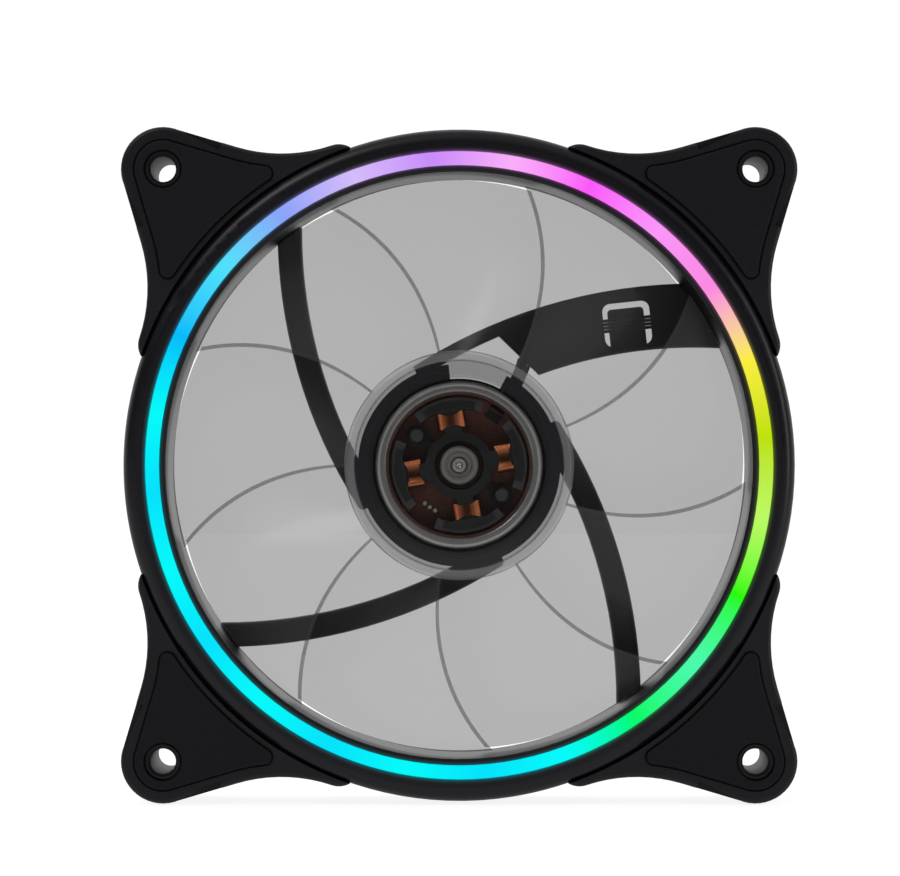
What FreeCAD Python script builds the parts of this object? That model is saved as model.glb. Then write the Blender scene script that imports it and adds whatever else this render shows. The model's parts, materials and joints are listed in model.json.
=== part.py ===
"""Case fan, 120 mm class, with a lit front ring and a clear impeller.

The fan is drawn lying on its back: the shaft is the Z axis and the front face looks up.
Each piece is stood up as it is written out, so in the finished part X is to the right
seen from the front, Z is up, and the front face looks along -Y.
Lengths are in millimetres and angles in degrees, counterclockwise from the right.
"""
import FreeCAD
import Part
import math
import os

from FreeCAD import Vector

# ---------------------------------------------------------------- driving sizes

# The square outline and its corners
SIDE = 120.0
DEPTH = 25.0
HOLE_INSET = 7.5            # screw hole centre to the outer edges
HOLE_R = 2.25
HOLE_MOUTH_R = 2.65
FACE_SETBACK = 0.8          # ear face behind the pad face, front and rear
FLANGE = 4.0                # ear and rear flange thickness
BOSS_R = 4.0
WAIST_INSET = 4.7           # the ear's waist, in from the square's side
WAIST_FROM_END = 28.5       # along the side, from its end
WAIST_R = 28.0
EAR_ROOT_DROP = 8.9         # from the waist to where the ear turns in to the ring
EAR_ROOT_R = 4.0
RIM_ROUND = 0.8
RELIEF_LENGTH = 8.6
RELIEF_WIDTH = 1.4
RELIEF_DEPTH = 1.6

# Corner pads
PAD_OFFSET = 2.5
PAD_LAND = 1.2              # ring housing to pad
PAD_CORNER_R = 1.3
PAD_HOLE_R = 3.4
PAD_GROOVE = 0.35
PAD_SINK = 1.2              # pocket depth below the ear face
PAD_EDGE = 0.3
PEG_R = 1.6
PEG_LENGTH = 1.6
PEG_GAP = 0.1

# Round light ring
RING_INSET = 0.4            # ring outline inside the square's side
RING_WIDTH = 7.6            # duct to ring outline
LIP_WALL = 1.15
DUCT_WALL = 2.0
CHANNEL_DEPTH = 8.1
CHANNEL_FLOOR = 1.4
BEZEL_WIDTH = 3.95
BEZEL_HEIGHT = 2.6
BEZEL_ROUND = 2.4
BEZEL_EASE = 0.25
OUTER_WALL = 1.8
SKIRT_WALL = 1.0
SKIRT_LENGTH = 2.9
SEAT_GAP = 0.1
DIFFUSER_SINK = 0.15
DIFFUSER_HEIGHT = 3.8
DIFFUSER_FLANGE = 0.7
LIGHT_BOARD = 1.0
LED_COUNT = 12
LED_FIRST = 20.0
LED_SIZE = 3.5
LED_HEIGHT = 1.4
LED_WINDOW_R = 1.35
LED_WINDOW_DEPTH = 0.5
CHIP_SIZE = 1.2
CHIP_HEIGHT = 0.6

# Struts and motor base
BASE_R = 18.4
BASE_WALL = 1.2
BASE_FLOOR = 1.5
STRUT_HEIGHT = 4.2
STRUT_WIDTH = 4.4
STRUT_BOW_R = 92.0
STRUT_IN = 193.0            # first strut's angle at the base
STRUT_OUT = 126.4           # and at the duct
STRUT_ROUND = 1.3
STRUT_ROOT = 12.0           # degrees it runs on round the base
ROOT_ROUND = 1.0
LEG_WIDTH = 2.4             # the wide strut's one leg to the base
WIDE_WIDTH = 11.6
WIDE_START = 3.5            # from the base to the wide strut's square end
WIDE_FACING = 46.0
STRUT_SKIN = 1.2
STRUT_SIDE = 1.2
BRIDGE_WIDTH = 2.0
BRIDGE_HEIGHT = 1.6
BRIDGE_FROM = 54.3
BRIDGE_TO = 58.8
NOTCH_FROM = 62.0
NOTCH_TO = 96.0
NOTCH_WIDTH = 2.6
HOOK_RADIUS = 39.9
HOOK_DROP = 0.7
HOOK_TURN = 6.0
WINDOW_WIDTH = 8.6
WINDOW_HEIGHT = 7.9
WINDOW_ROUND = 1.5
HOOK_GAP = 1.0
HOOK_THICK = 1.2
HOOK_ROUND = 0.7
LABEL_R = 15.0
LABEL_THICK = 0.2
LABEL_RECESS = 0.3

# Internal lead
LEAD_WIDTH = 2.6
LEAD_THICK = 1.0
LEAD_GAP = 0.2
LEAD_OVERLAP = 2.0          # soldered length on the motor board
LEAD_TURN = 1.42            # where it turns into the channel, in base radii
LEAD_START = 55.5           # angle where it leaves the motor board
LEAD_EXIT = 30.5            # angle where it goes through the duct wall
OUTLET_ANGLE = 22.5         # where the cable channel meets the outer rim

# Bearing and shaft
SHAFT_R = 1.5
BEARING_PLAY = 0.02
BEARING_R = 3.35
TUBE_WALL = 0.9
PRESS_GAP = 0.05
COLLAR_WALL = 1.2
BOARD_LIFT = 0.8
PAD_THICK = 0.45
SHAFT_END_GAP = 0.15
CLIP_THICK = 0.3
CLIP_LIFT = 0.4
CLIP_R = 2.6
CLIP_GROOVE = 0.4
CLIP_MOUTH = 1.6
RUN_GAP = 0.3
BEARING_LENGTH = 12.6
SEAL_THICK = 0.8
SEAL_PLAY = 0.4
SHAFT_SINK = 0.8
SHAFT_DIMPLE_R = 0.7

# Motor
MOTOR_BOARD_R = 14.0
MOTOR_BOARD = 1.0
STATOR_LIFT = 4.2           # board to the stack
STACK = 8.0
STATOR_R = 12.1
CORE_WALL = 1.65            # steel left round the bearing tube
POLES = 4
POLE_FIRST = 10.0
ARM_WIDTH = 3.0
SHOE_THICK = 1.9
SHOE_SPAN = 64.0
INSULATOR = 0.5
INSULATOR_HUB_WALL = 0.95
INSULATOR_SHOE_SPAN = 50.0
BOBBIN_WALL = 0.6
BOBBIN_WIDTH = 7.6
COIL_THICK = 1.1
COIL_LENGTH = 3.0
COIL_SETBACK = 0.55         # coil to the pole shoe
COIL_ROUND = 0.5
POST_R = 1.3
POST_RADIUS = 9.3
POST_ANGLES = (145.0, 325.0)
POST_LUG = 0.7
PIN_R = 0.35
PIN_ANGLES = (228.0, 235.0, 242.0)
DRIVER_SIZE = (3.6, 4.4, 0.9)       # along the radius, across it, height
DRIVER_RADIUS = 9.6
DRIVER_ANGLE = 280.0
SENSOR_SIZE = (1.6, 2.9, 0.9)
SENSOR_RADIUS = 10.8
SENSOR_ANGLE = 55.0
CAPACITOR_SIZE = (1.2, 2.0, 0.8)
CAPACITOR_RADIUS = 8.0
CAPACITOR_ANGLES = (20.0, 185.0, 210.0)
AIR_GAP = 0.5
MAGNET_WALL = 1.65
MAGNET_HEIGHT = 11.8
YOKE_WALL = 0.7
YOKE_LIP = 1.95
YOKE_LIFT = 1.4             # board to the yoke's open edge
FIT_GAP = 0.05

# Impeller
HUB_R = 20.4
HUB_WALL = 1.5
HUB_SETBACK = 1.5           # hub face behind the front
HUB_CAP = 1.6
HUB_ROUND = 1.2
HUB_CLEAR = 0.7             # open edge above the struts
YOKE_COLLAR = 1.1
YOKE_COLLAR_DEPTH = 11.0
YOKE_STEP = 1.4
BOSS_WALL = 1.2
INSERT_R = 3.4
INSERT_SINK = 0.3
INSERT_CUP_R = 2.2
INSERT_CUP_DEPTH = 0.9
BLADES = 9
BLADE_COVER = 41.4          # degrees that one blade covers, seen from the front
BLADE_SWEEP = 16.0          # degrees from root to tip
BLADE_SWEEP_POWER = 1.6
BLADE_FIRST = 8.0
BLADE_CAMBER = 1.3
BLADE_MID = 1.7
BLADE_EDGE = 0.7
BLADE_THINNING = 0.35       # thinner towards the tip
BLADE_TIP_RISE = 1.0        # the tip is this much shallower, each side
BLADE_CLEAR = 0.9           # above the struts
BLADE_SETBACK = 1.3         # below the hub face
BLADE_ROOT = 0.8            # sunk into the hub wall
TIP_GAP = 0.8

# ---------------------------------------------------------------- sizes that follow

FRONT = DEPTH / 2
REAR = -DEPTH / 2
HALF = SIDE / 2
HOLE = HALF - HOLE_INSET
RING_R = HALF - RING_INSET
DUCT_R = RING_R - RING_WIDTH
LIP_R = DUCT_R + LIP_WALL
EAR_FACE = FRONT - FACE_SETBACK
BACK_FACE = REAR + FACE_SETBACK
PAD_INNER_R = RING_R + PAD_LAND

CHANNEL_TOP = FRONT - CHANNEL_DEPTH
CHANNEL_BOTTOM = CHANNEL_TOP - CHANNEL_FLOOR
WALL_IN = RING_R - OUTER_WALL
BEZEL_IN = RING_R - BEZEL_WIDTH
BEZEL_SEAT = FRONT - BEZEL_HEIGHT
SKIRT_R = WALL_IN - SEAT_GAP
BOARD_IN = LIP_R + SEAT_GAP
BOARD_OUT = WALL_IN - SEAT_GAP
LED_RADIUS = (BOARD_IN + BOARD_OUT) / 2
LED_SEAT = CHANNEL_TOP + LIGHT_BOARD

STRUT_TOP = BACK_FACE + STRUT_HEIGHT
FLOOR_TOP = BACK_FACE + BASE_FLOOR
SKIN_UNDER = STRUT_TOP - STRUT_SKIN
LEAD_TOP = SKIN_UNDER - LEAD_GAP
LEAD_BOTTOM = LEAD_TOP - LEAD_THICK

TUBE_BORE = BEARING_R + PRESS_GAP
TUBE_R = TUBE_BORE + TUBE_WALL
COLLAR_BORE = TUBE_R + PRESS_GAP
BOARD_BOTTOM = FLOOR_TOP + BOARD_LIFT
BOARD_TOP = BOARD_BOTTOM + MOTOR_BOARD
SHAFT_BOTTOM = FLOOR_TOP + PAD_THICK + SHAFT_END_GAP
CLIP_BOTTOM = SHAFT_BOTTOM + CLIP_LIFT
CLIP_TOP = CLIP_BOTTOM + CLIP_THICK
BEARING_BOTTOM = CLIP_TOP + RUN_GAP
BEARING_TOP = BEARING_BOTTOM + BEARING_LENGTH
SEAL_TOP = BEARING_TOP + SEAL_THICK
TUBE_TOP = SEAL_TOP + FIT_GAP

CORE_HUB_R = COLLAR_BORE + CORE_WALL
INSULATOR_HUB_R = COLLAR_BORE + INSULATOR_HUB_WALL
STACK_BOTTOM = BOARD_TOP + STATOR_LIFT
STACK_TOP = STACK_BOTTOM + STACK
SHOE_IN = STATOR_R - SHOE_THICK
COIL_OUT = SHOE_IN - COIL_SETBACK
COIL_IN = COIL_OUT - COIL_LENGTH
WINDING_LOW = STACK_BOTTOM - INSULATOR - COIL_THICK
WINDING_HIGH = STACK_TOP + INSULATOR + COIL_THICK
BOBBIN_LOW = WINDING_LOW - FIT_GAP
BOBBIN_HIGH = WINDING_HIGH + FIT_GAP

MAGNET_IN = STATOR_R + AIR_GAP
MAGNET_OUT = MAGNET_IN + MAGNET_WALL
YOKE_IN = MAGNET_OUT + FIT_GAP
YOKE_R = YOKE_IN + YOKE_WALL
YOKE_BOTTOM = BOARD_TOP + YOKE_LIFT
MAGNET_BOTTOM = YOKE_BOTTOM + RUN_GAP
MAGNET_TOP = MAGNET_BOTTOM + MAGNET_HEIGHT
YOKE_TOP = MAGNET_TOP + FIT_GAP + YOKE_WALL

HUB_TOP = FRONT - HUB_SETBACK
CAP_UNDER = HUB_TOP - HUB_CAP
HUB_BOTTOM = STRUT_TOP + HUB_CLEAR
COLLAR_R = YOKE_R + FIT_GAP + YOKE_COLLAR
BOSS_BOTTOM = max(BOBBIN_HIGH, TUBE_TOP) + 2 * RUN_GAP
INSERT_TOP = HUB_TOP - INSERT_SINK
SHAFT_TOP = INSERT_TOP - SHAFT_SINK
BLADE_LOW = STRUT_TOP + BLADE_CLEAR
BLADE_HIGH = HUB_TOP - BLADE_SETBACK
TIP_R = DUCT_R - TIP_GAP

OVER = 2.0                  # how far a cutting tool runs past what it cuts

# ---------------------------------------------------------------- small helpers


def polar(radius, angle, height=0.0):
    turn = math.radians(angle)
    return Vector(radius * math.cos(turn), radius * math.sin(turn), height)


def disc(radius, low, high, at=Vector(0, 0, 0)):
    return Part.makeCylinder(radius, high - low, Vector(at.x, at.y, low))


def tube(inner, outer, low, high, at=Vector(0, 0, 0)):
    return disc(outer, low, high, at).cut(disc(inner, low - OVER, high + OVER, at))


def block(length, width, low, high, at=Vector(0, 0, 0), turn=0.0):
    """A box centred on a point, its length along X before it is turned."""
    box = Part.makeBox(length, width, high - low, Vector(-length / 2, -width / 2, low))
    box.rotate(Vector(0, 0, 0), Vector(0, 0, 1), turn)
    box.translate(Vector(at.x, at.y, 0))
    return box


def prism(points, low, high):
    """A straight-sided outline raised from low to high."""
    wire = Part.makePolygon([Vector(p.x, p.y, low) for p in points + points[:1]])
    return Part.Face(wire).extrude(Vector(0, 0, high - low))


def spin(points):
    """A closed outline of (radius, height) pairs turned about the shaft."""
    corners = [Vector(radius, 0, height) for radius, height in points]
    face = Part.Face(Part.makePolygon(corners + corners[:1]))
    return face.revolve(Vector(0, 0, 0), Vector(0, 0, 1), 360)


def turned(shape, angle):
    copy = shape.copy()
    copy.rotate(Vector(0, 0, 0), Vector(0, 0, 1), angle)
    return copy


def rims(shape, radius, height):
    """The round edges about the shaft at one radius and height."""
    found = []
    for edge in shape.Edges:
        curve = edge.Curve
        if isinstance(curve, Part.Circle):
            on_axis = math.hypot(curve.Center.x, curve.Center.y) < 1e-6
            if on_axis and abs(curve.Radius - radius) < 1e-4 and abs(curve.Center.z - height) < 1e-4:
                found.append(edge)
    return found


def flat_edges(shape, height):
    """The edges that lie wholly at one height."""
    return [edge for edge in shape.Edges
            if abs(edge.BoundBox.ZMin - height) < 1e-4 and abs(edge.BoundBox.ZMax - height) < 1e-4]


def upright_edges(shape):
    """A block's edges that run from its underside to its top."""
    return [edge for edge in shape.Edges if edge.BoundBox.ZLength > edge.Length / 2]


def sector(radius, start, end, low, high):
    """A wedge of a disc between two angles less than 180 degrees apart."""
    middle = (start + end) / 2
    arc = Part.Arc(polar(radius, start, low), polar(radius, middle, low), polar(radius, end, low))
    hub = Vector(0, 0, low)
    wire = Part.Wire([Part.LineSegment(hub, polar(radius, start, low)).toShape(), arc.toShape(),
                      Part.LineSegment(polar(radius, end, low), hub).toShape()])
    return Part.Face(wire).extrude(Vector(0, 0, high - low))


def path_band(points, width, low, high):
    """A flat strip of one width along straight runs, round at each turn."""
    pieces = []
    for start, end in zip(points, points[1:]):
        run = end - start
        angle = math.degrees(math.atan2(run.y, run.x))
        pieces.append(block(run.Length, width, low, high, (start + end) * 0.5, angle))
    for corner in points[1:-1]:
        pieces.append(disc(width / 2, low, high, corner))
    if len(pieces) == 1:
        return pieces[0]
    return pieces[0].multiFuse(pieces[1:]).removeSplitter()


def save(name, shape):
    """Stand the piece up and write it."""
    piece = shape.copy()
    piece.rotate(Vector(0, 0, 0), Vector(1, 0, 0), 90)
    piece.exportStep("parts/" + name + ".step")


# ---------------------------------------------------------------- ears and pads


def ear_tangent(offset):
    """The straight run between the corner's round and the waist, with its outward direction."""
    corner = Vector(HOLE, HOLE, 0)
    waist = Vector(HALF - WAIST_INSET + WAIST_R, HALF - WAIST_FROM_END, 0)
    span = waist - corner
    reach = (HOLE_INSET + WAIST_R) / span.Length
    angle = math.degrees(math.atan2(span.y, span.x) + math.acos(reach))
    outward = polar(1, angle)
    upper = corner + outward * (HOLE_INSET - offset)
    lower = waist - outward * (WAIST_R + offset)
    return upper, lower, outward, waist


def ear_side(offset):
    """One side of the ear, from the corner's round down to inside the ring."""
    upper, lower, outward, waist = ear_tangent(offset)
    radius = WAIST_R + offset
    rise = math.degrees(math.asin(EAR_ROOT_DROP / WAIST_R))
    turn_in = waist + polar(radius, 180 + rise)
    middle_angle = (math.degrees(math.atan2(-outward.y, -outward.x)) % 360 + 180 + rise) / 2
    middle = waist + polar(radius, middle_angle)
    edges = [Part.LineSegment(upper, lower).toShape(), Part.Arc(lower, middle, turn_in).toShape()]
    if offset > 0:
        return edges, turn_in
    centre = waist + polar(radius + EAR_ROOT_R, 180 + rise)
    root = centre + polar(EAR_ROOT_R, -60)
    edges.append(Part.Arc(turn_in, centre + polar(EAR_ROOT_R, (rise - 60) / 2), root).toShape())
    return edges, root


def mirrored(edges):
    """The same edges on the other side of the corner's diagonal."""
    return [edge.mirror(Vector(0, 0, 0), Vector(1, -1, 0)) for edge in edges]


def ear(offset, low, high):
    """One corner ear as a plate that reaches back to the shaft; offset draws it in."""
    upper = ear_tangent(offset)[0]
    side, end = ear_side(offset)
    tip = Vector(HOLE, HOLE, 0) + polar(HOLE_INSET - offset, 45)
    other = Vector(upper.y, upper.x, 0)
    round_corner = Part.Arc(upper, tip, other).toShape()
    hub = Vector(0, 0, 0)
    closing = [Part.LineSegment(end, hub).toShape(), Part.LineSegment(hub, Vector(end.y, end.x, 0)).toShape()]
    edges = side + mirrored(side) + [round_corner] + closing
    face = Part.Face(Part.Wire(Part.__sortEdges__(edges)))
    face.translate(Vector(0, 0, low))
    return face.extrude(Vector(0, 0, high - low))


def ear_plate(low, high, face):
    """An ear with its outer rim rounded on the side that shows."""
    plate = ear(0.0, low, high)
    rim = [edge for edge in flat_edges(plate, face)
           if math.hypot(edge.CenterOfMass.x, edge.CenterOfMass.y) > RING_R - OVER]
    return plate.makeFillet(RIM_ROUND, rim)


def four(shape):
    return [turned(shape, 90 * step) for step in range(4)]


def pad_block(offset, inner, corner_r, low, high):
    """The three-sided pad outline as a block with its upright corners rounded."""
    outline = ear(offset, low, high).cut(disc(inner, low - OVER, high + OVER))
    corners = []
    for edge in outline.Edges:
        start, end = edge.Vertexes[0].Point, edge.Vertexes[-1].Point
        upright = math.hypot(start.x - end.x, start.y - end.y) < 1e-6
        if upright and math.hypot(start.x, start.y) < inner + OVER / 2:
            corners.append(edge)
    return outline.makeFillet(corner_r, corners)


def pad_peg_centre():
    return polar((PAD_INNER_R + HOLE * math.sqrt(2) - PAD_HOLE_R) / 2, 45)


def front_pad():
    seat = EAR_FACE - PAD_SINK
    pad = pad_block(PAD_OFFSET, PAD_INNER_R, PAD_CORNER_R, seat, FRONT)
    pad = pad.makeFillet(PAD_EDGE, flat_edges(pad, FRONT))
    pad = pad.cut(disc(PAD_HOLE_R, seat - OVER, FRONT + OVER, Vector(HOLE, HOLE, 0)))
    peg = disc(PEG_R, seat - PEG_LENGTH, seat, pad_peg_centre())
    return pad.fuse(peg).removeSplitter()


def pad_pocket():
    seat = EAR_FACE - PAD_SINK
    inner = PAD_INNER_R - PAD_GROOVE
    pocket = pad_block(PAD_OFFSET - PAD_GROOVE, inner, PAD_CORNER_R + PAD_GROOVE, seat, FRONT + OVER)
    boss = disc(PAD_HOLE_R - PAD_GROOVE, seat - OVER, FRONT + 2 * OVER, Vector(HOLE, HOLE, 0))
    hole = disc(PEG_R + PEG_GAP, seat - PEG_LENGTH - PEG_GAP, seat + OVER, pad_peg_centre())
    return pocket.cut(boss).fuse(hole)


def to_rear(shape):
    """The same piece on the rear face: turned over about the up axis."""
    copy = shape.copy()
    copy.rotate(Vector(0, 0, 0), Vector(0, 1, 0), 180)
    return copy


# ---------------------------------------------------------------- struts


def bow_centre():
    """Centre of the first strut's arc."""
    start = polar(BASE_R, STRUT_IN)
    end = polar(DUCT_R, STRUT_OUT)
    chord = end - start
    rise = math.sqrt(STRUT_BOW_R ** 2 - (chord.Length / 2) ** 2)
    side = Vector(chord.y, -chord.x, 0) * (rise / chord.Length)
    return (start + end) * 0.5 + side


def on_bow(radius, bow_r, turn=0.0):
    """The point at one radius from the shaft on an arc about the strut's bow centre."""
    centre = bow_centre()
    reach = centre.Length
    base = math.atan2(centre.y, centre.x)
    swing = math.acos((reach ** 2 + radius ** 2 - bow_r ** 2) / (2 * reach * radius))
    return polar(radius, math.degrees(base + swing) + turn)


def bow_band(bow_in, bow_out, low, high):
    """A curved bar between two arcs about the bow centre, from the base to the duct."""
    centre = bow_centre()
    ring = tube(bow_in, bow_out, low, high, centre)
    reach = tube(BASE_R - BASE_WALL / 2, DUCT_R + LIP_WALL / 2, low - OVER, high + OVER)
    near_side = sector(2 * SIDE, 90, STRUT_IN + STRUT_ROOT, low - OVER, high + OVER)
    return ring.common(reach).common(near_side)


def rounded_top(bar, radius):
    """Round a bar's long top edges."""
    edges = [edge for edge in flat_edges(bar, STRUT_TOP)
             if isinstance(edge.Curve, Part.Circle) and edge.Curve.Radius > BASE_R * 3
             and edge.Length > BASE_R / 2]
    return bar.makeFillet(radius, edges)


def rounded_root(bar):
    """Ease the bar's free corner where it ends beside the base."""
    corner = [edge for edge in upright_edges(bar)
              if BASE_R + ROOT_ROUND / 2 < math.hypot(edge.Vertexes[0].X, edge.Vertexes[0].Y) < DUCT_R / 2]
    return bar.makeFillet(ROOT_ROUND, corner)


def thin_strut():
    bar = bow_band(STRUT_BOW_R - STRUT_WIDTH / 2, STRUT_BOW_R + STRUT_WIDTH / 2, BACK_FACE, STRUT_TOP)
    return rounded_root(rounded_top(bar, STRUT_ROUND))


def leg():
    """The narrow bar from the base to the wide strut's square end."""
    outer = STRUT_BOW_R + STRUT_WIDTH / 2
    bar = rounded_top(bow_band(outer - LEG_WIDTH, outer, BACK_FACE, STRUT_TOP), STRUT_ROUND / 2)
    return turned(bar, -90)


def wide_strut():
    outer = STRUT_BOW_R + STRUT_WIDTH / 2
    bar = rounded_top(bow_band(outer - WIDE_WIDTH, outer, BACK_FACE, STRUT_TOP), STRUT_ROUND / 2)
    start = BASE_R + WIDE_START
    tool = block(2 * start, 2 * SIDE, BACK_FACE - OVER, STRUT_TOP + OVER)
    return turned(bar, -90).cut(turned(tool, WIDE_FACING))


def wide_channel():
    """The hollow behind the wide strut's skin."""
    outer = STRUT_BOW_R + STRUT_WIDTH / 2
    hollow = bow_band(outer - WIDE_WIDTH + STRUT_SIDE, outer - STRUT_SIDE, BACK_FACE - OVER, SKIN_UNDER)
    start = BASE_R + WIDE_START + STRUT_SIDE
    tool = block(2 * start, 2 * SIDE, BACK_FACE - 2 * OVER, STRUT_TOP)
    return turned(hollow, -90).cut(turned(tool, WIDE_FACING)).common(disc(DUCT_R, REAR - OVER, STRUT_TOP))


def hook_centre():
    middle = STRUT_BOW_R + STRUT_WIDTH / 2 - WIDE_WIDTH / 2 - HOOK_DROP
    return on_bow(HOOK_RADIUS, middle, -90)


def hook_window():
    window = block(WINDOW_WIDTH, WINDOW_HEIGHT, REAR - OVER, STRUT_TOP + OVER, hook_centre(), HOOK_TURN)
    return window.makeFillet(WINDOW_ROUND, upright_edges(window))


def hook():
    """The finger across the channel that holds the lead against the skin."""
    width = WINDOW_WIDTH - 2 * HOOK_GAP
    down = polar(1, HOOK_TURN - 90)
    length = WINDOW_HEIGHT
    centre = hook_centre() + down * HOOK_GAP
    low = BACK_FACE + LEAD_GAP
    finger = block(width, length, low, low + HOOK_THICK, centre, HOOK_TURN)
    return finger.makeFillet(HOOK_ROUND, upright_edges(finger))


def bridge():
    start = polar(BASE_R - BASE_WALL / 2, BRIDGE_FROM)
    end = polar(BASE_R + WIDE_START + STRUT_SIDE / 2, BRIDGE_TO)
    run = end - start
    angle = math.degrees(math.atan2(run.y, run.x))
    return block(run.Length, BRIDGE_WIDTH, BACK_FACE, BACK_FACE + BRIDGE_HEIGHT, (start + end) * 0.5, angle)


def lead_route():
    """The lead's centre line from the motor board to just outside the duct wall."""
    points = [polar(MOTOR_BOARD_R - LEAD_OVERLAP, LEAD_START), polar(BASE_R, LEAD_START)]
    points.append(polar(BASE_R * LEAD_TURN, BRIDGE_TO))
    points += [hook_centre() + polar(WINDOW_WIDTH / 2, HOOK_TURN + side) for side in (180, 0)]
    points += [polar(DUCT_R - 1.5, LEAD_EXIT), polar(LED_RADIUS, LEAD_EXIT)]
    return points


# ---------------------------------------------------------------- frame


def duct_and_channel():
    """The air duct with the light channel round its front."""
    profile = [(DUCT_R, BACK_FACE), (DUCT_R + DUCT_WALL, BACK_FACE), (DUCT_R + DUCT_WALL, CHANNEL_BOTTOM),
               (RING_R, CHANNEL_BOTTOM), (RING_R, BEZEL_SEAT), (WALL_IN, BEZEL_SEAT),
               (WALL_IN, CHANNEL_TOP), (LIP_R, CHANNEL_TOP), (LIP_R, FRONT), (DUCT_R, FRONT)]
    duct = spin(profile)
    duct = duct.makeFillet(LIP_WALL * 0.3, rims(duct, LIP_R, FRONT) + rims(duct, DUCT_R, FRONT))
    return duct.makeFillet(RIM_ROUND, rims(duct, RING_R, CHANNEL_BOTTOM) + rims(duct, DUCT_R, BACK_FACE))


def relief():
    """The wedge taken off the ear's rim beside the screw hole, on one side."""
    upper, lower, outward, _ = ear_tangent(0.0)
    along = (lower - upper).normalize()
    low = upper + along * RELIEF_LENGTH
    points = [low + outward * OVER, low - outward * RELIEF_WIDTH, upper, upper + outward * OVER]
    return prism(points, EAR_FACE - RELIEF_DEPTH, FRONT)


def front_ears():
    plate = ear_plate(EAR_FACE - FLANGE, EAR_FACE, EAR_FACE)
    wedge = relief()
    plate = plate.cut(wedge).cut(wedge.mirror(Vector(0, 0, 0), Vector(1, -1, 0)))
    plate = plate.cut(disc(RING_R - OUTER_WALL / 2, REAR, FRONT))
    plate = plate.cut(tube(0.5, RING_R + SEAT_GAP, BEZEL_SEAT, FRONT))
    return four(plate)


def rear_flange():
    low, high = BACK_FACE, BACK_FACE + FLANGE
    rim = disc(RING_R, low, high)
    rim = rim.makeFillet(RIM_ROUND, rims(rim, RING_R, low))
    plates = four(ear_plate(low, high, low))
    return rim.multiFuse(plates).cut(disc(DUCT_R + DUCT_WALL / 2, low - OVER, high + OVER))


def bosses():
    return four(disc(BOSS_R, BACK_FACE + FLANGE - 1, EAR_FACE - FLANGE + 1, Vector(HOLE, HOLE, 0)))


def motor_base():
    floor = disc(BASE_R, BACK_FACE, FLOOR_TOP)
    wall = tube(BASE_R - BASE_WALL, BASE_R, BACK_FACE, STRUT_TOP)
    collar = tube(COLLAR_BORE, COLLAR_BORE + COLLAR_WALL, BACK_FACE, BOARD_BOTTOM)
    base = floor.multiFuse([wall, collar])
    base = base.makeFillet(BASE_WALL / 3, rims(base, BASE_R, STRUT_TOP))
    base = base.cut(disc(TUBE_BORE, BACK_FACE - OVER, FLOOR_TOP + OVER))
    notch = sector(BASE_R + OVER, NOTCH_FROM, NOTCH_TO, BACK_FACE - OVER, STRUT_TOP + OVER)
    notch = notch.cut(disc(BASE_R - NOTCH_WIDTH, BACK_FACE - 2 * OVER, STRUT_TOP + 2 * OVER))
    base = base.cut(notch)
    return base.cut(disc(LABEL_R + SEAT_GAP, BACK_FACE - OVER, BACK_FACE + LABEL_RECESS))


def screw_holes():
    tools = []
    for low, high in ((EAR_FACE - FLANGE / 4, FRONT + OVER), (REAR - OVER, BACK_FACE + FLANGE / 4)):
        tools.append(disc(HOLE_MOUTH_R, low, high, Vector(HOLE, HOLE, 0)))
    tools.append(disc(HOLE_R, REAR - OVER, FRONT + OVER, Vector(HOLE, HOLE, 0)))
    one = tools[0].multiFuse(tools[1:])
    return four(one)


def lead_passage():
    """Room for the lead: over the bridge, along the wide strut, through the duct wall and up."""
    route = lead_route()
    width = LEAD_WIDTH + 2 * LEAD_GAP
    inside = polar(BASE_R - BASE_WALL - LEAD_GAP, LEAD_START)
    over_bridge = path_band([inside] + route[1:3], width, LEAD_BOTTOM - LEAD_GAP, SKIN_UNDER)
    along = path_band(route[2:], width, BACK_FACE - OVER, SKIN_UNDER)
    outside = polar(RING_R + 4 * OVER, OUTLET_ANGLE)
    outlet = path_band([route[-1], outside], width, BACK_FACE - OVER, SKIN_UNDER)
    rise = block(LEAD_THICK + 2 * LEAD_GAP, width, BACK_FACE, CHANNEL_TOP + LEAD_GAP / 2,
                 polar(LED_RADIUS, LEAD_EXIT), LEAD_EXIT)
    return [over_bridge, along, outlet, rise]


def frame():
    solids = [rear_flange(), motor_base(), bridge(), wide_strut()] + front_ears() + bosses()
    solids += [leg()] + [turned(thin_strut(), 90 * step) for step in (0, 1, 2)]
    body = duct_and_channel().multiFuse(solids)
    pockets = four(pad_pocket())
    rear_pockets = [to_rear(pocket) for pocket in pockets]
    body = body.cut(wide_channel())
    for tool in [hook_window()] + lead_passage() + screw_holes() + pockets + rear_pockets:
        body = body.cut(tool)
    return body.fuse(hook()).removeSplitter()


# ---------------------------------------------------------------- light ring


def bezel_ring():
    profile = [(BEZEL_IN, BEZEL_SEAT), (SKIRT_R - SKIRT_WALL, BEZEL_SEAT),
               (SKIRT_R - SKIRT_WALL, BEZEL_SEAT - SKIRT_LENGTH), (SKIRT_R, BEZEL_SEAT - SKIRT_LENGTH),
               (SKIRT_R, BEZEL_SEAT), (RING_R, BEZEL_SEAT), (RING_R, FRONT), (BEZEL_IN, FRONT)]
    ring = spin(profile)
    ring = ring.makeFillet(BEZEL_ROUND, rims(ring, RING_R, FRONT))
    return ring.makeFillet(BEZEL_EASE, rims(ring, BEZEL_IN, FRONT))


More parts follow.
